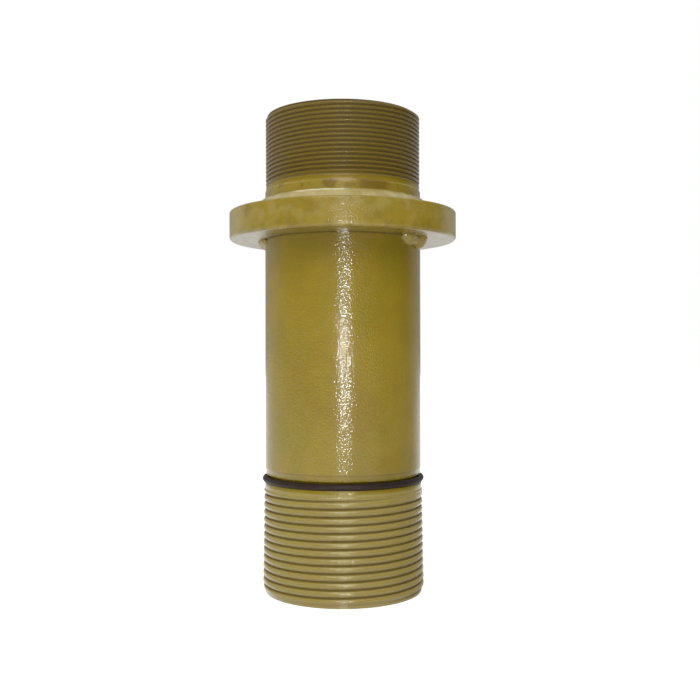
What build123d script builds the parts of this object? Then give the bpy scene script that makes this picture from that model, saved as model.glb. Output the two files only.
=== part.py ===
"""Pipe adapter: a steel pipe, threaded at both ends, with a welded stop collar and an O-ring.

Millimetres, +Z up. The origin is the centre of the lower end face, on which the adapter stands.
The fine top thread is shown at its full diameter, without its ridges; the coarse lower one is cut.
"""

import os
from math import ceil, radians, tan

from build123d import *

# Pipe: nominal 3 inch, schedule 40
body_radius = 88.9 / 2
wall_thickness = 5.5
mouth_chamfer = 0.8

# Heights of the turned zones, listed from the foot up
coarse_thread_length = 57.6
coarse_run_out_length = 1.2
foot_band_length = 3.35
turned_strip_length = 3.35
barrel_length = 129.4
neck_length = 5.4
fine_run_out_length = 1.0
fine_thread_length = 40.5

# Fine thread at the top, 11 turns to the inch, cut into the pipe
fine_thread_inset = 0.51
fine_thread_chamfer = 0.9

# Coarse thread at the foot, 6 turns to the inch, right-hand, on an end that swells towards the foot
coarse_thread_rise = 0.95
coarse_foot_swell = 0.8
coarse_pitch = 25.4 / 6
coarse_depth = 2.2
coarse_root_width = 1.1
coarse_flank_angle = 13.0
coarse_groove_end_azimuth = 12.0
foot_chamfer_width = 1.7
foot_chamfer_height = 3.6

# Plain band between the coarse thread and the O-ring, and the strip above the O-ring
foot_band_rise = 0.35
turned_strip_inset = 0.3

# O-ring, lying on the floor of its groove
ring_section_radius = 1.75
ring_groove_depth = 1.8
ring_groove_slack = 0.4

# Stop collar, slid over the pipe
collar_width = 20.3
collar_thickness = 15.9
collar_slip = 0.2
collar_upper_edge_radius = 1.0
collar_lower_edge_radius = 1.8

# Weld bead on top of the collar
bead_width = 7.6
bead_height = 8.0
bead_crown = 0.9

# Stitch welds under the collar, opposite each other
stitch_leg = 6.6
stitch_span = 30.0
right_stitch_azimuth = -26.0
left_stitch_azimuth = 164.0

# Radii worked out from the sizes above
bore_radius = body_radius - wall_thickness
coarse_crest_radius = body_radius + coarse_thread_rise
coarse_foot_radius = coarse_crest_radius + coarse_foot_swell
foot_band_radius = body_radius + foot_band_rise
turned_strip_radius = body_radius - turned_strip_inset
fine_thread_radius = body_radius - fine_thread_inset
ring_groove_radius = body_radius - ring_groove_depth
ring_centre_radius = ring_groove_radius + ring_section_radius
collar_bore_radius = body_radius + collar_slip
collar_radius = body_radius + collar_width

# Heights worked out from the sizes above
foot_band_start_height = coarse_thread_length + coarse_run_out_length
ring_groove_start_height = foot_band_start_height + foot_band_length
ring_groove_width = 2 * (ring_section_radius + ring_groove_slack)
ring_groove_end_height = ring_groove_start_height + ring_groove_width
ring_height = ring_groove_start_height + ring_groove_width / 2
barrel_start_height = ring_groove_end_height + turned_strip_length
collar_underside_height = barrel_start_height + barrel_length
collar_top_height = collar_underside_height + collar_thickness
fine_run_out_height = collar_top_height + bead_height + neck_length
fine_thread_start_height = fine_run_out_height + fine_run_out_length
overall_length = fine_thread_start_height + fine_thread_length


def radial_direction(azimuth):
    """Unit vector that points out from the axis at an azimuth in degrees."""
    return Vector(1, 0, 0).rotate(Axis.Z, azimuth)


def tangent_direction(azimuth):
    """Unit vector along the pipe's girth at an azimuth in degrees, anticlockwise from above."""
    return Vector(0, 1, 0).rotate(Axis.Z, azimuth)


def make_pipe():
    """The pipe is turned all over, then the coarse thread's groove is cut up its foot."""
    with BuildPart() as pipe_body:
        with BuildSketch(Plane.XZ):
            with BuildLine():
                Polyline(
                    (bore_radius + mouth_chamfer, 0),
                    (coarse_foot_radius - foot_chamfer_width, 0),
                    (coarse_foot_radius, foot_chamfer_height),
                    (coarse_crest_radius, coarse_thread_length),
                    (foot_band_radius, foot_band_start_height),
                    (foot_band_radius, ring_groove_start_height),
                    (ring_groove_radius, ring_groove_start_height),
                    (ring_groove_radius, ring_groove_end_height),
                    (turned_strip_radius, ring_groove_end_height),
                    (turned_strip_radius, barrel_start_height),
                    (body_radius, barrel_start_height),
                    (body_radius, fine_run_out_height),
                    (fine_thread_radius, fine_thread_start_height),
                    (fine_thread_radius, overall_length - fine_thread_chamfer),
                    (fine_thread_radius - fine_thread_chamfer, overall_length),
                    (bore_radius + mouth_chamfer, overall_length),
                    (bore_radius, overall_length - mouth_chamfer),
                    (bore_radius, mouth_chamfer),
                    close=True,
                )
            make_face()
        revolve(axis=Axis.Z)

        # the groove starts one turn below the foot, so that it runs out through the end face
        turns = ceil(coarse_thread_length / coarse_pitch) + 1
        groove_length = turns * coarse_pitch
        with BuildLine(Plane.XY.rotated((0, 0, coarse_groove_end_azimuth))) as groove_path:
            Helix(
                coarse_pitch,
                groove_length,
                coarse_crest_radius,
                center=(0, 0, coarse_thread_length - groove_length),
            )
        groove_plane = Plane(
            groove_path.line @ 0,
            x_dir=radial_direction(coarse_groove_end_azimuth),
            z_dir=tangent_direction(coarse_groove_end_azimuth),
        )
        root_half_width = coarse_root_width / 2
        clear_of_crest = coarse_foot_swell + coarse_root_width / 2
        flank_reach = coarse_depth + clear_of_crest
        mouth_half_width = root_half_width + flank_reach * tan(radians(coarse_flank_angle))
        with BuildSketch(groove_plane) as groove:
            with BuildLine():
                Polyline(
                    (-coarse_depth, -root_half_width),
                    (clear_of_crest, -mouth_half_width),
                    (clear_of_crest, mouth_half_width),
                    (-coarse_depth, root_half_width),
                    close=True,
                )
            make_face()
        sweep(sections=groove.sketch, path=groove_path.line, is_frenet=True, mode=Mode.SUBTRACT)
    return pipe_body


def make_collar():
    """The collar is a flat ring with its two outer edges rounded, the lower one more."""
    with BuildPart() as collar_ring:
        with BuildSketch(Plane.XY.offset(collar_underside_height)):
            Circle(collar_radius)
            Circle(collar_bore_radius, mode=Mode.SUBTRACT)
        extrude(amount=collar_thickness)
        underside = collar_ring.faces().sort_by(Axis.Z)[0]
        fillet(underside.outer_wire().edges(), collar_lower_edge_radius)
        top = collar_ring.faces().sort_by(Axis.Z)[-1]
        fillet(top.outer_wire().edges(), collar_upper_edge_radius)
    return collar_ring


def make_top_weld():
    """A full ring of weld fills the corner between the pipe and the collar's top."""
    toe = (body_radius + bead_width, collar_top_height)
    root = (body_radius, collar_top_height)
    crest = (body_radius, collar_top_height + bead_height)
    crown = (
        body_radius + bead_width / 2 + bead_crown,
        collar_top_height + bead_height / 2 + bead_crown,
    )
    with BuildPart() as top_weld_bead:
        with BuildSketch(Plane.XZ):
            with BuildLine():
                Polyline(crest, root, toe)
                ThreePointArc(toe, crown, crest)
            make_face()
        revolve(axis=Axis.Z)
    return top_weld_bead


def make_stitch(azimuth):
    """A short weld in the corner under the collar: a rounded bar with rounded ends."""
    start = Plane.XZ.rotated((0, 0, azimuth - stitch_span / 2))
    corner_radius, corner_height = body_radius, collar_underside_height
    with BuildPart() as stitch:
        with BuildSketch(start):
            with Locations((corner_radius, corner_height)):
                Circle(stitch_leg)
        revolve(axis=Axis.Z, revolution_arc=stitch_span)
        for end in (azimuth - stitch_span / 2, azimuth + stitch_span / 2):
            place = radial_direction(end) * corner_radius + Vector(0, 0, corner_height)
            with Locations(place):
                Sphere(stitch_leg)
        with Locations((0, 0, corner_height)):
            Cylinder(body_radius, 4 * stitch_leg, mode=Mode.SUBTRACT)
        with Locations((0, 0, corner_height + stitch_leg)):
            Cylinder(collar_radius, 2 * stitch_leg, mode=Mode.SUBTRACT)
    return stitch


def make_o_ring():
    """The O-ring sits on the floor of its groove and stands proud of the pipe."""
    with BuildPart() as o_ring:
        with Locations((0, 0, ring_height)):
            Torus(ring_centre_radius, ring_section_radius)
    return o_ring


pieces = {
    "pipe_body": make_pipe(),
    "collar_ring": make_collar(),
    "top_weld_bead": make_top_weld(),
    "o_ring": make_o_ring(),
    "stitch_weld_right": make_stitch(right_stitch_azimuth),
    "stitch_weld_left": make_stitch(left_stitch_azimuth),
}

os.makedirs("parts", exist_ok=True)
for name, piece in pieces.items():
    piece.part.label = name
    export_step(piece.part, f"parts/{name}.step")
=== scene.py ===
"""Pipe adapter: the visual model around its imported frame.

Metres, +Z up, the foot on z = 0, seen from the -Y side. Small sizes are written in millimetres
and multiplied by MM. Azimuth is an angle about the pipe's axis, 0 along +X, anticlockwise from above.
"""

import math

import bmesh
import bpy
import numpy as np
from mathutils import Matrix, Vector, noise


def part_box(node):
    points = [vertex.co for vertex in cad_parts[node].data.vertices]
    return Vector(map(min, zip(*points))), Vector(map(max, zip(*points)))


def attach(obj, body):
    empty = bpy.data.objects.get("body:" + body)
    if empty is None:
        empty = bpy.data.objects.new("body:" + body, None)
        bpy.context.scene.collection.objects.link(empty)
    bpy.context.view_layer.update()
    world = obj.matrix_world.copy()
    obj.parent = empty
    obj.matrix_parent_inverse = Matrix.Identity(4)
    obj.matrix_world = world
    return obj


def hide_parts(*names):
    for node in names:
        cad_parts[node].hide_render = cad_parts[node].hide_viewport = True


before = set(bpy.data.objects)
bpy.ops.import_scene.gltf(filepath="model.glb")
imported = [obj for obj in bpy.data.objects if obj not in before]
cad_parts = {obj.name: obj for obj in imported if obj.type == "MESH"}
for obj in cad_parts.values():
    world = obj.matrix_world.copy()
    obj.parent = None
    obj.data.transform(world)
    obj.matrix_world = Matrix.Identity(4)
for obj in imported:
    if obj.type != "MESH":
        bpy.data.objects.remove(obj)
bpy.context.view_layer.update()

MM = 0.001
TURN = 2 * math.pi

# Heights and radii read from the frame
PIPE_LOW, PIPE_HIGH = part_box("pipe_body")
COLLAR_LOW, COLLAR_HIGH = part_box("collar_ring")
RING_LOW, RING_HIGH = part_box("o_ring")
BEAD_LOW, BEAD_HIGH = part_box("top_weld_bead")
PIPE_TOP = PIPE_HIGH.z
CREST_RADIUS = PIPE_HIGH.x
COLLAR_RADIUS = COLLAR_HIGH.x
COLLAR_UNDERSIDE = COLLAR_LOW.z
COLLAR_TOP = COLLAR_HIGH.z

# Sizes of the pipe that its box does not give, as in the part
BODY_RADIUS = 44.45 * MM
BORE_RADIUS = 38.95 * MM
MOUTH_CHAMFER = 0.8 * MM
COARSE_PITCH = 25.4 / 6 * MM
COARSE_DEPTH = 1.6 * MM
COARSE_END_HEIGHT = 57.6 * MM
COARSE_END_AZIMUTH = math.radians(12)
CREST_TOP_RADIUS = 45.4 * MM
FOOT_CHAMFER_WIDTH = 1.7 * MM
FOOT_CHAMFER_HEIGHT = 3.6 * MM
BAND_RADIUS = 44.8 * MM
BAND_START = 58.8 * MM
GROOVE_LOW = 62.15 * MM
GROOVE_HIGH = 66.45 * MM
GROOVE_RADIUS = 42.65 * MM
STRIP_RADIUS = 44.15 * MM
STRIP_END = 69.8 * MM
FINE_PITCH = 2.42 * MM
FINE_DEPTH = 0.9 * MM
FINE_RADIUS = 44.15 * MM
FINE_START = 229.5 * MM
FINE_CHAMFER = 1.0 * MM
FINE_END_AZIMUTH = math.radians(0)
SHOULDER_HEIGHT = 227.0 * MM
SHOULDER_STEP = 0.45 * MM

# Sizes of the welds, the collar and the seal
COLLAR_BORE = 44.65 * MM
COLLAR_UPPER_EDGE = 1.0 * MM
COLLAR_LOWER_EDGE = 1.8 * MM
BEAD_CROWN = 0.9 * MM
STITCH_LEG = 6.6 * MM
SEAL_TILT = math.radians(0.15)
SEAL_DROP = 0.3 * MM

COLUMNS = 240


def smooth_step(low, high, value):
    """0 below low, 1 above high, with a soft turn between them."""
    t = np.clip((value - low) / (high - low), 0, 1)
    return t * t * (3 - 2 * t)


def through_points(points, value):
    """A line through (place, level) pairs, read at value."""
    places, levels = zip(*points)
    return np.interp(value, places, levels)


def lumps(points, size, seed):
    """Smooth noise between about -1 and 1 at an array of points, with lumps of the given size."""
    flat = points.reshape(-1, 3) / size + seed * 17.3
    values = [noise.noise(Vector(p)) for p in flat]
    return np.array(values).reshape(points.shape[:-1])


# Meshes from grids


def add_grid(store, radii, heights, theta):
    """Adds a grid of rows by columns, in polar form, to the store of points and faces."""
    points, faces = store
    rows, columns = heights.shape
    start = sum(len(p) for p in points)
    cloud = np.stack([radii * np.cos(theta), radii * np.sin(theta), heights], axis=-1)
    points.append(cloud.reshape(-1, 3))
    index = start + np.arange(rows * columns).reshape(rows, columns)
    quads = np.stack([index[:-1, :-1], index[:-1, 1:], index[1:, 1:], index[1:, :-1]], axis=-1)
    faces.append(quads.reshape(-1, 4))


def full_turn(rows):
    """Azimuths of a grid that goes once round, with its first column repeated at the end."""
    return np.linspace(0, TURN, COLUMNS + 1)[None, :] * np.ones((rows, 1))


def add_turned(store, pairs):
    """Adds turned rows, from (radius, height) pairs."""
    pairs = np.array(pairs, float)
    ones = np.ones((1, COLUMNS + 1))
    add_grid(store, pairs[:, :1] * ones, pairs[:, 1:] * ones, full_turn(len(pairs)))


def mesh_object(name, store, weld=2e-6):
    """A smooth-shaded mesh from grids, with their common edges joined."""
    points, faces = np.concatenate(store[0]), np.concatenate(store[1])
    mesh = bpy.data.meshes.new(name)
    mesh.from_pydata(points.tolist(), [], faces.tolist())
    shape = bmesh.new()
    shape.from_mesh(mesh)
    bmesh.ops.remove_doubles(shape, verts=shape.verts, dist=weld)
    bmesh.ops.dissolve_degenerate(shape, dist=weld / 4, edges=shape.edges)
    bmesh.ops.recalc_face_normals(shape, faces=shape.faces)
    for face in shape.faces:
        face.smooth = True
    shape.to_mesh(mesh)
    shape.free()
    made = bpy.data.objects.new(name, mesh)
    bpy.context.scene.collection.objects.link(made)
    return made


def mesh_points(made):
    """The mesh's points as an array."""
    flat = np.empty(len(made.data.vertices) * 3)
    made.data.vertices.foreach_get("co", flat)
    return flat.reshape(-1, 3)


def put_attribute(made, name, values):
    """Stores one number per point, for the material to read."""
    layer = made.data.attributes.new(name, "FLOAT", "POINT")
    layer.data.foreach_set("value", np.asarray(values, float).ravel())


def dress(made, node, material):
    """Stands the mesh in for a node, on the one body, with its material."""
    made.data.materials.append(material)
    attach(made, "root")
    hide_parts(node)


# Pipe


def groove_offset(theta, z, pitch, end_height, end_azimuth):
    """How far a point lies above the nearest turn of a groove, and how far back along it, in radians."""
    height_here = end_height + pitch * (theta - end_azimuth) / TURN
    turn = np.round((z - height_here) / pitch)
    offset = z - height_here - turn * pitch
    along = end_azimuth - (theta + turn * TURN)
    return offset, along


def outline_radius(z):
    """The turned outline of the pipe before its threads are cut, with soft painted corners."""
    swell = (CREST_RADIUS - CREST_TOP_RADIUS) * (1 - np.clip(z / COARSE_END_HEIGHT, 0, 1))
    corner = 0.18 * MM * np.exp(-(((z - FOOT_CHAMFER_HEIGHT) / (1.2 * MM)) ** 2))
    chamfer = FOOT_CHAMFER_WIDTH * (1 - np.clip(z / FOOT_CHAMFER_HEIGHT, 0, 1))
    foot = CREST_TOP_RADIUS + swell - chamfer - corner
    band = foot + (BAND_RADIUS - CREST_TOP_RADIUS) * smooth_step(COARSE_END_HEIGHT, BAND_START, z)
    neck = smooth_step(SHOULDER_HEIGHT - 0.4 * MM, SHOULDER_HEIGHT + 0.4 * MM, z)
    thread = smooth_step(SHOULDER_HEIGHT + 2 * MM, SHOULDER_HEIGHT + 6 * MM, z)
    fine_rise = FINE_RADIUS - BODY_RADIUS + SHOULDER_STEP
    top = BODY_RADIUS - SHOULDER_STEP * neck + fine_rise * thread
    top -= np.clip((z - (PIPE_TOP - FINE_CHAMFER)) / FINE_CHAMFER, 0, 1) * FINE_CHAMFER
    return np.where(z < GROOVE_LOW, band, top)


def coarse_depth(theta, z):
    """Depth of the coarse groove as the paint leaves it: a narrow root between rounded crests."""
    offset, along = groove_offset(theta, z, COARSE_PITCH, COARSE_END_HEIGHT, COARSE_END_AZIMUTH)
    profile = [
        (0, 1), (0.25 * MM, 1), (0.4 * MM, 0.8), (0.6 * MM, 0.44), (0.85 * MM, 0.29),
        (1.15 * MM, 0.18), (1.5 * MM, 0.08), (1.85 * MM, 0.02), (COARSE_PITCH / 2, 0),
    ]
    run_out = smooth_step(math.radians(-10), math.radians(170), along)
    start = smooth_step(1.2 * MM, 2.6 * MM, z - offset)
    return COARSE_DEPTH * run_out * start * through_points(profile, np.abs(offset))


def fine_depth(theta, z):
    """Depth of the fine groove, which runs out over its last turns."""
    offset, _ = groove_offset(theta, z, FINE_PITCH, PIPE_TOP, FINE_END_AZIMUTH)
    half = FINE_PITCH / 2
    profile = [(0, 1), (0.15 * half, 0.95), (0.6 * half, 0.3), (0.85 * half, 0.05), (half, 0)]
    fade = smooth_step(SHOULDER_HEIGHT + 0.3 * MM, SHOULDER_HEIGHT + 5.5 * MM, z - offset)
    return FINE_DEPTH * fade * through_points(profile, np.abs(offset))


def pipe_depth(theta, z):
    """Depth of either thread at an azimuth and height, 0 between them."""
    depth = np.where(z < BAND_START, coarse_depth(theta, z), 0)
    return np.where(z > FINE_START - 1 * MM, fine_depth(theta, z), depth)


def helical_rows(pitch, end_height, end_azimuth, offsets, low, high):
    """Heights, at every column, of rows that follow a groove from one height to another."""
    slope = pitch * (full_turn(1) - end_azimuth) / TURN
    first = math.floor((low - end_height) / pitch) - 2
    last = math.ceil((high - end_height) / pitch) + 2
    levels = [end_height + turn * pitch + offset for turn in range(first, last) for offset in offsets]
    rows = np.array(levels)[:, None] + slope
    used = np.flatnonzero((rows.max(axis=1) > low) & (rows.min(axis=1) < high))
    return np.clip(rows[max(used[0] - 1, 0):used[-1] + 2], low, high)


def add_thread(store, pitch, end_height, end_azimuth, offsets, low, high):
    """Adds a zone of the pipe's wall whose rows follow a groove."""
    rows = helical_rows(pitch, end_height, end_azimuth, offsets, low, high)
    theta = full_turn(len(rows))
    add_grid(store, outline_radius(rows) - pipe_depth(theta, rows), rows, theta)


def make_pipe():
    """The pipe: helical grids over both threads, turned rows between them, end faces and bore."""
    store = ([], [])
    coarse_top = 60.0 * MM
    fine_low = FINE_START - 4 * MM
    steps = [0.25, 0.4, 0.6, 0.85, 1.15, 1.5, 1.85]
    coarse_offsets = [-k * MM for k in reversed(steps)] + [k * MM for k in steps] + [COARSE_PITCH / 2]
    add_thread(store, COARSE_PITCH, COARSE_END_HEIGHT, COARSE_END_AZIMUTH, coarse_offsets, 0, coarse_top)
    half = FINE_PITCH / 2
    fine_offsets = [k * half for k in (-0.85, -0.6, -0.15, 0.15, 0.6, 0.85, 1)]
    add_thread(store, FINE_PITCH, PIPE_TOP, FINE_END_AZIMUTH, fine_offsets, fine_low, PIPE_TOP)

    edge = 0.25 * MM
    between = [
        (BAND_RADIUS, coarse_top),
        (BAND_RADIUS, GROOVE_LOW - edge),
        (BAND_RADIUS - edge, GROOVE_LOW),
        (GROOVE_RADIUS, GROOVE_LOW),
        (GROOVE_RADIUS, GROOVE_HIGH),
        (STRIP_RADIUS - edge, GROOVE_HIGH),
        (STRIP_RADIUS, GROOVE_HIGH + edge),
        (STRIP_RADIUS, STRIP_END - edge),
        (BODY_RADIUS - edge / 4, STRIP_END + edge / 2),
        (BODY_RADIUS, STRIP_END + 2 * edge),
    ]
    barrel_rows = 8
    between += [(BODY_RADIUS, z) for z in np.linspace(STRIP_END + 4 * edge, fine_low, barrel_rows)]
    add_turned(store, between)

    mouth = BORE_RADIUS + MOUTH_CHAMFER
    theta = full_turn(5)
    lanes = np.linspace(0, 1, 5)[:, None]
    for height in (0, PIPE_TOP):
        level = np.full_like(theta, height)
        rim = outline_radius(level) - pipe_depth(theta, level)
        add_grid(store, mouth + (rim - mouth) * lanes, level, theta)
    bore = [(mouth, 0), (BORE_RADIUS, MOUTH_CHAMFER)]
    bore += [(BORE_RADIUS, z) for z in np.linspace(10 * MM, PIPE_TOP - 10 * MM, 12)]
    bore += [(BORE_RADIUS, PIPE_TOP - MOUTH_CHAMFER), (mouth, PIPE_TOP)]
    add_turned(store, bore)

    pipe = mesh_object("pipe", store)
    x, y, z = mesh_points(pipe).T
    outer = np.hypot(x, y) > BORE_RADIUS + 2 * MOUTH_CHAMFER
    full = np.where(z > FINE_START - 1 * MM, FINE_DEPTH, COARSE_DEPTH)
    theta = np.arctan2(y, x) % TURN
    put_attribute(pipe, "groove", np.where(outer, pipe_depth(theta, z) / full, 0))
    # painted shade: the lower side of each coarse crest is painted darker
    offset, along = groove_offset(theta, z, COARSE_PITCH, COARSE_END_HEIGHT, COARSE_END_AZIMUTH)
    below = smooth_step(0.2, 0.9, (-offset / COARSE_PITCH) % 1) * smooth_step(0, 3, along)
    put_attribute(pipe, "shade", np.where(outer & (z < BAND_START), below, 0))
    return pipe


# Collar, welds and seal


def arc(centre_radius, centre_height, radius, start, end, steps):
    """Points of a round edge in a turned outline, angles in degrees."""
    angles = np.radians(np.linspace(start, end, steps + 1))
    return [(centre_radius + radius * math.cos(a), centre_height + radius * math.sin(a)) for a in angles]


def make_collar():
    """The stop collar, a flat ring with its outer edges rounded."""
    store = ([], [])
    inner = 0.3 * MM
    low, high = COLLAR_LOWER_EDGE, COLLAR_UPPER_EDGE
    side = COLLAR_RADIUS - low
    outline = [(COLLAR_BORE, COLLAR_UNDERSIDE + inner), (COLLAR_BORE + inner, COLLAR_UNDERSIDE)]
    outline += [(COLLAR_BORE + (side - COLLAR_BORE) * k / 6, COLLAR_UNDERSIDE) for k in range(1, 6)]
    outline += arc(side, COLLAR_UNDERSIDE + low, low, -90, 0, 8)
    face = COLLAR_TOP - high - COLLAR_UNDERSIDE - low
    outline += [(COLLAR_RADIUS, COLLAR_UNDERSIDE + low + face * k / 6) for k in range(1, 6)]
    side = COLLAR_RADIUS - high
    outline += arc(side, COLLAR_TOP - high, high, 0, 90, 6)
    outline += [(side + (COLLAR_BORE - side) * k / 6, COLLAR_TOP) for k in range(1, 7)]
    outline.append(outline[0])
    add_turned(store, outline)
    return mesh_object("collar", store)


def make_top_bead():
    """The weld above the collar: one run of small overlapping ripples with a wandering edge."""
    store = ([], [])
    columns = 480
    steps = 16
    bead_height = BEAD_HIGH.z - BEAD_LOW.z
    bead_width = BEAD_HIGH.x - BODY_RADIUS
    theta = np.linspace(0, TURN, columns + 1)[None, :] * np.ones((steps + 1, 1))
    share = np.linspace(0, 1, steps + 1)[:, None] * np.ones((1, columns + 1))
    ring = np.stack([np.cos(theta), np.sin(theta), 0 * theta], axis=-1) * 48 * MM
    tall = bead_height * (0.9 + 0.03 * lumps(ring, 6 * MM, 1))
    wide = bead_width * (0.93 + 0.07 * lumps(ring, 6 * MM, 2))
    radii = BODY_RADIUS - 0.15 * MM + wide * share
    heights = COLLAR_TOP - 0.1 * MM + tall * (1 - share)
    # crown of the bead, its ripples and its lumps, all at right angles to its slope
    bulge = np.sin(np.pi * share ** 0.85) ** 0.75
    ripple_count = 92
    drift = 1.2 * lumps(ring, 14 * MM, 3)
    phase = (ripple_count * theta / TURN + 0.9 * bulge + drift) % 1
    ripple = 0.10 * MM * (np.sqrt(np.clip(1 - (2 * phase - 1) ** 2, 0, 1)) - 0.7)
    surface = np.stack([radii * np.cos(theta), radii * np.sin(theta), heights], axis=-1)
    lump = 0.14 * MM * lumps(surface, 3.2 * MM, 4) + 0.35 * MM * lumps(surface, 9 * MM, 5)
    out = bulge * (BEAD_CROWN * 1.3 + lump) + np.sqrt(bulge) * ripple
    slope = math.hypot(bead_height, bead_width)
    radii = radii + out * bead_height / slope
    heights = heights + out * bead_width / slope
    back_radii = np.full_like(radii[:1], BODY_RADIUS - 0.15 * MM)
    back_heights = np.full_like(back_radii, COLLAR_TOP - 0.1 * MM)
    radii = np.concatenate([radii, back_radii, radii[:1]])
    heights = np.concatenate([heights, back_heights, heights[:1]])
    theta = np.concatenate([theta, theta[:2]])
    add_grid(store, radii, heights, theta)
    bead = mesh_object("top_weld", store)
    x, y, z = mesh_points(bead).T
    azimuth = np.degrees(np.arctan2(y, x))
    # painted highlight along the bead's upper edge, left of the front
    painted_highlight = smooth_step(-128, -120, azimuth) * (1 - smooth_step(-92, -86, azimuth))
    put_attribute(bead, "painted_highlight", painted_highlight * smooth_step(5.4 * MM, 6.6 * MM, z - COLLAR_TOP))
    # painted sheen round the front, fainter at the back
    painted_sheen = smooth_step(-170, -150, azimuth) * (1 - smooth_step(-48, -34, azimuth))
    put_attribute(bead, "painted_sheen", np.maximum(painted_sheen, 0.35 * smooth_step(0, 40, azimuth)))
    return bead


def make_stitch(name, low_degrees, high_degrees, seed, swells):
    """A short lumpy weld in the corner under the collar; swells are (azimuth, spread, size) in degrees."""
    store = ([], [])
    columns, steps = 90, 18
    low, high = math.radians(low_degrees), math.radians(high_degrees)
    theta = np.linspace(low, high, columns + 1)[None, :] * np.ones((steps + 1, 1))
    along = np.linspace(-1, 1, columns + 1)[None, :]
    turn = np.linspace(-math.pi / 2, 0, steps + 1)[:, None]
    leg = 0.5 * STITCH_LEG * np.ones_like(theta)
    for azimuth, spread, size in swells:
        distance = (np.degrees(theta) - azimuth) / spread
        leg += size * STITCH_LEG * np.exp(-(distance ** 2))
    leg = np.minimum(leg, 1.0 * STITCH_LEG) * np.sqrt(np.clip(1 - along ** 8, 0, 1))
    radii = BODY_RADIUS - 0.15 * MM + leg * np.cos(turn)
    heights = COLLAR_UNDERSIDE + 0.1 * MM + leg * np.sin(turn)
    surface = np.stack([radii * np.cos(theta), radii * np.sin(theta), heights], axis=-1)
    rough = 0.16 * lumps(surface, 3.0 * MM, seed) + 0.08 * lumps(surface, 1.3 * MM, seed + 1)
    leg = leg * (1 + rough * np.sin(-2 * turn))
    radii = BODY_RADIUS - 0.15 * MM + leg * np.cos(turn)
    heights = COLLAR_UNDERSIDE + 0.1 * MM + leg * np.sin(turn)
    corner = np.full_like(radii[:1], BODY_RADIUS - 0.15 * MM)
    radii = np.concatenate([corner, radii, corner])
    heights = np.concatenate([corner * 0 + COLLAR_UNDERSIDE + 0.1 * MM] * 1 + [heights]
                             + [corner * 0 + COLLAR_UNDERSIDE + 0.1 * MM])
    theta = np.concatenate([theta[:1], theta, theta[:1]])
    add_grid(store, radii, heights, theta)
    return mesh_object(name, store)


def make_seal():
    """The O-ring, a rubber ring that lies slightly askew in its groove."""
    section = (RING_HIGH.z - RING_LOW.z) / 2
    centre_radius = RING_HIGH.x - section
    centre_height = (RING_HIGH.z + RING_LOW.z) / 2
    store = ([], [])
    add_turned(store, arc(centre_radius, centre_height, section, 0, 360, 20))
    seal = mesh_object("seal", store)
    centre = Vector((0, 0, centre_height))
    rest = Vector((0, 0, centre_height - SEAL_DROP))
    tilt = Matrix.Translation(rest) @ Matrix.Rotation(-SEAL_TILT, 4, "Y") @ Matrix.Translation(-centre)
    seal.data.transform(tilt)
    return seal


# Materials


class Graph:
    """Builds one material's node graph."""

    def __init__(self, name):
        self.material = bpy.data.materials.new(name)
        self.material.use_nodes = True
        tree = self.material.node_tree
        self.nodes, self.links = tree.nodes, tree.links
        self.shader = self.nodes["Principled BSDF"]
        self.place = self.nodes.new("ShaderNodeTexCoord").outputs["Object"]

    def put(self, value, socket):
        """Links an output to a socket, or sets the socket's own value."""
        if isinstance(value, bpy.types.NodeSocket):
            self.links.new(value, socket)
        else:
            socket.default_value = value

    def noise(self, size, detail=2.0, stretch=(1, 1, 1), warp=0.0):
        """Noise from 0 to 1 with features of the given size in metres."""
        mapping = self.nodes.new("ShaderNodeMapping")
        mapping.inputs["Scale"].default_value = stretch
        self.put(self.place, mapping.inputs["Vector"])
        texture = self.nodes.new("ShaderNodeTexNoise")
        texture.inputs["Scale"].default_value = 1 / size
        texture.inputs["Detail"].default_value = detail
        texture.inputs["Distortion"].default_value = warp
        self.put(mapping.outputs[0], texture.inputs["Vector"])
        return texture.outputs["Fac"]

    def ease(self, value, low, high, start=0.0, end=1.0):
        """Maps value from low..high to start..end with soft ends."""
        node = self.nodes.new("ShaderNodeMapRange")
        node.interpolation_type = "SMOOTHSTEP"
        for socket, amount in zip(node.inputs, (value, low, high, start, end)):
            self.put(amount, socket)
        return node.outputs[0]

    def blend(self, factor, first, second):
        """Mixes two colours."""
        node = self.nodes.new("ShaderNodeMix")
        node.data_type = "RGBA"
        self.put(factor, node.inputs["Factor"])
        for colour, socket in ((first, node.inputs[6]), (second, node.inputs[7])):
            self.put(colour if isinstance(colour, bpy.types.NodeSocket) else (*colour, 1), socket)
        return node.outputs[2]

    def sum(self, operation, first, second):
        """One math node."""
        node = self.nodes.new("ShaderNodeMath")
        node.operation = operation
        self.put(first, node.inputs[0])
        self.put(second, node.inputs[1])
        return node.outputs[0]

    def attribute(self, name):
        node = self.nodes.new("ShaderNodeAttribute")
        node.attribute_name = name
        return node.outputs["Fac"]

    def height(self):
        """Height above the foot, in metres."""
        node = self.nodes.new("ShaderNodeSeparateXYZ")
        self.put(self.place, node.inputs[0])
        return node.outputs["Z"]

    def spot(self, centre, radius):
        """1 at a point in metres, 0 beyond the radius about it."""
        node = self.nodes.new("ShaderNodeVectorMath")
        node.operation = "DISTANCE"
        self.put(self.place, node.inputs[0])
        node.inputs[1].default_value = centre
        return self.ease(node.outputs["Value"], 0.5 * radius, radius, 1, 0)

    def band(self, low, high, soft):
        """1 between two heights and 0 away from them."""
        rise = self.ease(self.height(), low - soft, low)
        return self.sum("MULTIPLY", rise, self.ease(self.height(), high, high + soft, 1, 0))

    def bump(self, height, distance, below=None):
        """Roughens the surface by distance times height."""
        node = self.nodes.new("ShaderNodeBump")
        node.inputs["Strength"].default_value = 1
        node.inputs["Distance"].default_value = distance
        self.put(height, node.inputs["Height"])
        if below is not None:
            self.put(below, node.inputs["Normal"])
        return node.outputs[0]


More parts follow.
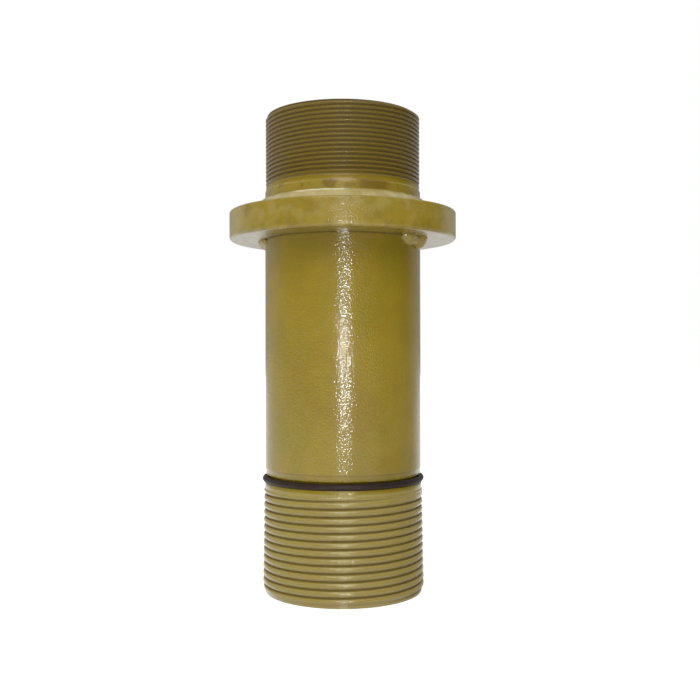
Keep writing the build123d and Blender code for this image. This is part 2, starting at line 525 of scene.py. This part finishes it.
OLIVE_LIGHT = (0.320, 0.225, 0.016)
OLIVE_DARK = (0.275, 0.188, 0.011)
OLIVE_GREEN = (0.265, 0.205, 0.013)
# Brown painted shade for the grooves, the lower side of each coarse crest and the crease under the collar
PAINTED_SHADE_BROWN = (0.190, 0.130, 0.020)
# Darker painted shade for the fine thread's grooves
FINE_GROOVE_PAINTED_SHADE = (0.075, 0.045, 0.004)
THREAD_BROWN = (0.148, 0.098, 0.008)
# Pale wear and dust, and the painted pale reflection at the collar's ends
PALE_WEAR_AND_REFLECTION = (0.400, 0.320, 0.105)
# Pale weld paint, and the painted sheen round the front of the bead
WELD_PALE_AND_SHEEN = (0.500, 0.420, 0.185)
# Painted highlight along the bead's upper edge
WELD_PAINTED_HIGHLIGHT = (0.850, 0.800, 0.560)
SPOT_BROWN = (0.150, 0.075, 0.012)


# Stains on the neck: place and radius in metres
NECK_STAINS = [((0.017, -0.041, 0.226), 0.012), ((-0.007, -0.044, 0.226), 0.005)]


def olive(graph):
    """The mottled olive tone that all the paint shares: broad faint clouds and a fine grain."""
    cloud = graph.ease(graph.noise(40 * MM, 3), 0.4, 0.6, 0.05, 0.95)
    base = graph.blend(cloud, OLIVE_DARK, OLIVE_LIGHT)
    green = graph.ease(graph.noise(22 * MM, 3, (1, 1, 0.6), 0.4), 0.45, 0.62, 0, 0.85)
    base = graph.blend(green, base, OLIVE_GREEN)
    grain = graph.ease(graph.noise(1.3 * MM, 2), 0.35, 0.65, 0, 0.28)
    base = graph.blend(grain, base, OLIVE_DARK)
    dust = graph.ease(graph.noise(1.9 * MM, 3), 0.55, 0.7, 0, 0.12)
    return graph.blend(dust, base, PALE_WEAR_AND_REFLECTION)


def orange_peel(graph, size=0.92 * MM, distance=0.16 * MM):
    """The crinkled skin of sprayed machine paint."""
    return graph.bump(graph.noise(size, 0.5), distance)


def finish_paint(graph, colour, normal, roughness=0.17):
    """Common gloss of the paint."""
    shader = graph.shader
    graph.put(colour, shader.inputs["Base Color"])
    graph.put(roughness, shader.inputs["Roughness"])
    graph.put(normal, shader.inputs["Normal"])
    shader.inputs["IOR"].default_value = 1.5
    return graph.material


def pipe_paint():
    """Olive paint, brown over the fine thread, with brown painted shade in the grooves, under each coarse
    crest and in the crease under the collar.
    """
    graph = Graph("pipe_paint")
    colour = olive(graph)
    fine_zone = graph.ease(graph.height(), SHOULDER_HEIGHT - 0.5 * MM, SHOULDER_HEIGHT + 5 * MM)
    colour = graph.blend(graph.sum("MULTIPLY", fine_zone, 0.9), colour, THREAD_BROWN)
    neck_zone = graph.band(223 * MM, 227 * MM, 1 * MM)
    colour = graph.blend(graph.sum("MULTIPLY", neck_zone, 0.15), colour, PALE_WEAR_AND_REFLECTION)
    stain = graph.ease(graph.noise(5 * MM, 3, (1, 1, 1.6)), 0.5, 0.65, 0, 0.5)
    for place, radius in NECK_STAINS:
        stain = graph.sum("MAXIMUM", stain, graph.sum("MULTIPLY", graph.spot(place, radius), 0.6))
    colour = graph.blend(graph.sum("MULTIPLY", stain, neck_zone), colour, SPOT_BROWN)
    # painted shade in the crease under the collar
    crease_shade = graph.band(COLLAR_UNDERSIDE - 0.3 * MM, COLLAR_UNDERSIDE + 0.3 * MM, 0.3 * MM)
    colour = graph.blend(graph.sum("MULTIPLY", crease_shade, 0.85), colour, PAINTED_SHADE_BROWN)
    edge = graph.band(STRIP_END - 0.2 * MM, STRIP_END + 0.2 * MM, 0.4 * MM)
    colour = graph.blend(graph.sum("MULTIPLY", edge, 0.4), colour, SPOT_BROWN)
    foot_zone = graph.ease(graph.height(), BAND_START, BAND_START + 2 * MM, 0.6, 0)
    colour = graph.blend(foot_zone, colour, PALE_WEAR_AND_REFLECTION)
    # painted shade on the lower side of each coarse crest
    colour = graph.blend(graph.sum("MULTIPLY", graph.attribute("shade"), 0.45), colour, PAINTED_SHADE_BROWN)
    # painted shade in the grooves, darker over the fine thread
    groove = graph.ease(graph.attribute("groove"), 0.2, 1, 0, 0.95)
    colour = graph.blend(groove, colour, graph.blend(fine_zone, PAINTED_SHADE_BROWN, FINE_GROOVE_PAINTED_SHADE))
    graph.put(graph.sum("SUBTRACT", 0.5, graph.sum("MULTIPLY", fine_zone, 0.2)),
              graph.shader.inputs["Specular IOR Level"])
    dull = graph.ease(graph.attribute("groove"), 0.3, 0.8, 0.12, 0.7)
    dull = graph.sum("MAXIMUM", dull, graph.sum("MULTIPLY", fine_zone, 0.2))
    return finish_paint(graph, colour, orange_peel(graph), dull)


def collar_paint():
    """The same paint, a little paler, with faint pale wear patches, a painted pale reflection at both ends of
    its front, and a few brown spots.
    """
    graph = Graph("collar_paint")
    colour = olive(graph)
    wear_and_rim_reflection = graph.ease(graph.noise(9 * MM, 4, (1, 1, 1), 0.3), 0.42, 0.66, 0.05, 0.45)
    # painted pale reflection at the two ends of the collar's front
    for end in (-0.062, 0.066):
        wear_and_rim_reflection = graph.sum("MAXIMUM", wear_and_rim_reflection, graph.sum("MULTIPLY", graph.spot((end, -0.012, 0.207), 0.036), 0.8))
    colour = graph.blend(wear_and_rim_reflection, colour, PALE_WEAR_AND_REFLECTION)
    shade = graph.ease(graph.noise(6 * MM, 3), 0.45, 0.7, 0, 0.3)
    colour = graph.blend(shade, colour, THREAD_BROWN)
    spots = graph.ease(graph.noise(7 * MM, 3), 0.68, 0.74, 0, 0.5)
    colour = graph.blend(spots, colour, SPOT_BROWN)
    return finish_paint(graph, colour, orange_peel(graph), 0.2)


def weld_paint():
    """Thicker paint over the welds, with a painted pale sheen round the front of the bead, a painted
    highlight along its upper edge, and a few brown spots.
    """
    graph = Graph("weld_paint")
    patch = graph.ease(graph.noise(8 * MM, 2), 0.35, 0.6, 0.5, 1)
    # painted sheen round the bead's front, over a faint pale tone all round
    pale = graph.sum("MULTIPLY", graph.attribute("painted_sheen"), patch)
    colour = graph.blend(graph.sum("ADD", graph.sum("MULTIPLY", pale, 0.85), 0.12), OLIVE_LIGHT, WELD_PALE_AND_SHEEN)
    # painted highlight along the bead's upper edge
    colour = graph.blend(graph.attribute("painted_highlight"), colour, WELD_PAINTED_HIGHLIGHT)
    spots = graph.ease(graph.noise(4 * MM, 3), 0.62, 0.72, 0, 0.7)
    colour = graph.blend(spots, colour, SPOT_BROWN)
    return finish_paint(graph, colour, orange_peel(graph, 1.2 * MM, 0.08 * MM), 0.2)


def seal_rubber():
    """Black nitrile rubber under a little dust."""
    graph = Graph("seal_rubber")
    dust = graph.ease(graph.noise(5 * MM, 4), 0.45, 0.75, 0, 0.5)
    colour = graph.blend(dust, (0.024, 0.014, 0.009), (0.044, 0.030, 0.023))
    graph.put(colour, graph.shader.inputs["Base Color"])
    graph.shader.inputs["Roughness"].default_value = 0.5
    graph.shader.inputs["Specular IOR Level"].default_value = 0.2
    graph.put(graph.bump(graph.noise(0.6 * MM, 2), 0.02 * MM), graph.shader.inputs["Normal"])
    return graph.material


# Camera and light

FILL = 0.47
FRONT_GLOSS = 0.12
BACK_GLOSS = 0.4
TOP_GLOSS = 0.45
NEAR_FLOOR_GLOSS = 0.8
FAR_FLOOR_GLOSS = 0.6
STREAK_FLOOR_GLOSS = 1.4
FRONT_HAZE = 0.25


def make_camera():
    """A level view of the front, as the photograph's, with the axis a little left of centre."""
    distance = 533.4 * MM
    eye_height = 133.4 * MM
    yaw = math.radians(0.433)
    pitch = math.radians(0.37)
    roll = math.radians(0.12)
    focal_pixels = 926.2
    frame_pixels = 700
    data = bpy.data.cameras.new("camera")
    data.sensor_width = 36
    data.lens = focal_pixels / frame_pixels * data.sensor_width
    camera = bpy.data.objects.new("camera", data)
    turn = Matrix.Rotation(-yaw, 4, "Z") @ Matrix.Rotation(math.pi / 2 + pitch, 4, "X")
    camera.matrix_world = (
        Matrix.Translation((0, -distance, eye_height)) @ turn @ Matrix.Rotation(-roll, 4, "Z")
    )
    bpy.context.scene.collection.objects.link(camera)
    bpy.context.scene.camera = camera


def add_area(name, place, target, width, height, power, for_paint=True, for_gloss=True):
    """A soft lamp that faces a point; it may light the paint, show in its gloss, or both."""
    data = bpy.data.lights.new(name, "AREA")
    data.shape = "RECTANGLE"
    data.size = width
    data.size_y = height
    data.energy = power
    lamp = bpy.data.objects.new(name, data)
    lamp.location = place
    lamp.rotation_euler = (Vector(target) - Vector(place)).to_track_quat("-Z", "Y").to_euler()
    lamp.visible_camera = False
    lamp.visible_diffuse = for_paint
    lamp.visible_glossy = for_gloss
    bpy.context.scene.collection.objects.link(lamp)
    return lamp


def link_all(links, pairs):
    for source, target in pairs:
        links.new(source, target)


def make_world():
    """White to the camera; in reflections dim in front, dark on the right, brighter behind and above."""
    world = bpy.data.worlds.new("world")
    bpy.context.scene.world = world
    world.use_nodes = True
    nodes, links = world.node_tree.nodes, world.node_tree.links
    nodes.clear()

    def put(value, socket):
        if isinstance(value, bpy.types.NodeSocket):
            links.new(value, socket)
        else:
            socket.default_value = value

    def background(strength):
        node = nodes.new("ShaderNodeBackground")
        node.inputs["Color"].default_value = (1, 1, 1, 1)
        put(strength, node.inputs["Strength"])
        return node

    def math_node(operation, first, second):
        node = nodes.new("ShaderNodeMath")
        node.operation = operation
        put(first, node.inputs[0])
        put(second, node.inputs[1])
        return node.outputs[0]

    def ease(value, low, high, start, end):
        node = nodes.new("ShaderNodeMapRange")
        node.interpolation_type = "SMOOTHSTEP"
        for socket, amount in zip(node.inputs, (value, low, high, start, end)):
            put(amount, socket)
        return node.outputs[0]

    path = nodes.new("ShaderNodeLightPath")
    direct = math_node("MAXIMUM", path.outputs["Is Camera Ray"], path.outputs["Is Transmission Ray"])
    place = nodes.new("ShaderNodeTexCoord")
    split = nodes.new("ShaderNodeSeparateXYZ")
    links.new(place.outputs["Generated"], split.inputs[0])
    x, y, z = (split.outputs[name] for name in ("X", "Y", "Z"))
    room = ease(y, -0.2, 0.5, FRONT_GLOSS, BACK_GLOSS)
    flag = math_node("MULTIPLY", ease(x, 0.6, 0.85, 0, 1), ease(y, 0.3, 0.55, 1, 0))
    room = math_node("MULTIPLY", room, math_node("SUBTRACT", 1, math_node("MULTIPLY", flag, 0.9)))
    room = math_node("MULTIPLY", room, ease(x, -0.9, -0.4, 1.4, 1))
    above = ease(z, 0.35, 0.8, 0, TOP_GLOSS)
    room = math_node("ADD", room, ease(y, -0.95, -0.7, FRONT_HAZE, 0))
    reflected = background(math_node("ADD", room, above))
    glossy = nodes.new("ShaderNodeMixShader")
    seen = nodes.new("ShaderNodeMixShader")
    out = nodes.new("ShaderNodeOutputWorld")
    link_all(links, [
        (path.outputs["Is Glossy Ray"], glossy.inputs[0]),
        (background(FILL).outputs[0], glossy.inputs[1]),
        (reflected.outputs[0], glossy.inputs[2]),
        (direct, seen.inputs[0]),
        (glossy.outputs[0], seen.inputs[1]),
        (background(1).outputs[0], seen.inputs[2]),
        (seen.outputs[0], out.inputs["Surface"]),
    ])


def make_floor():
    """A wide pale floor: white far off, and near the foot it keeps the adapter's soft shadow."""
    bpy.ops.mesh.primitive_plane_add(size=12, location=(0, 0, -0.2 * MM))
    floor = bpy.context.object
    floor.name = "floor"
    graph = Graph("floor")
    shader = graph.shader
    shader.inputs["Base Color"].default_value = (0.82, 0.82, 0.82, 1)
    shader.inputs["Roughness"].default_value = 0.9
    shader.inputs["Emission Color"].default_value = (1, 1, 1, 1)
    path = graph.nodes.new("ShaderNodeLightPath")
    camera = graph.sum("MAXIMUM", path.outputs["Is Camera Ray"], path.outputs["Is Transmission Ray"])
    split = graph.nodes.new("ShaderNodeSeparateXYZ")
    graph.put(graph.place, split.inputs[0])
    length = graph.nodes.new("ShaderNodeVectorMath")
    length.operation = "LENGTH"
    graph.put(graph.place, length.inputs[0])
    reach = length.outputs["Value"]
    seen = graph.sum("MULTIPLY", camera, graph.ease(reach, 0.06, 0.3, 0.7, 1.0))
    # in reflections the floor is brightest near the foot and in front, and dark on the right
    to_right = graph.sum("DIVIDE", split.outputs["X"], reach)
    to_front = graph.sum("DIVIDE", split.outputs["Y"], reach)
    gloss = graph.ease(reach, 0.15, 0.7, NEAR_FLOOR_GLOSS, FAR_FLOOR_GLOSS)
    gloss = graph.sum("MULTIPLY", gloss, graph.ease(to_right, 0.65, 0.9, 1, 0.1))
    gloss = graph.sum("ADD", gloss, graph.ease(to_front, -0.9996, -0.9978, STREAK_FLOOR_GLOSS, 0))
    mirrored = graph.sum("MULTIPLY", path.outputs["Is Glossy Ray"], gloss)
    graph.put(graph.sum("ADD", seen, mirrored), shader.inputs["Emission Strength"])
    floor.data.materials.append(graph.material)


make_camera()
paint = weld_paint()
dress(make_pipe(), "pipe_body", pipe_paint())
dress(make_collar(), "collar_ring", collar_paint())
dress(make_top_bead(), "top_weld_bead", paint)
dress(make_seal(), "o_ring", seal_rubber())
right_swells = [(-38, 5, 0.35), (-22, 6, 0.45)]
left_swells = [(156, 6, 0.2), (176, 7, 0.2)]
dress(make_stitch("stitch_right", -45, -8, 11, right_swells), "stitch_weld_right", paint)
dress(make_stitch("stitch_left", 146, 193, 23, left_swells), "stitch_weld_left", paint)

make_world()
make_floor()
middle = (0, 0, 0.13)
add_area("overhead", (-0.05, -0.9, 0.9), middle, 0.7, 0.7, 5.8)
add_area("front_fill", (0.0, -1.3, 0.14), middle, 0.9, 0.3, 2.0, for_gloss=False)
add_area("left_side", (-1.2, -0.35, 0.3), middle, 0.6, 0.9, 2.9, for_gloss=False)
add_area("streak", (0.02, -0.62, 0.135), middle, 0.02, 0.12, 0.9, for_paint=False)
add_area("tall_streak", (0.03, -0.9, 0.14), middle, 0.03, 0.9, 0.5, for_paint=False)

bpy.context.scene.view_settings.view_transform = "Standard"
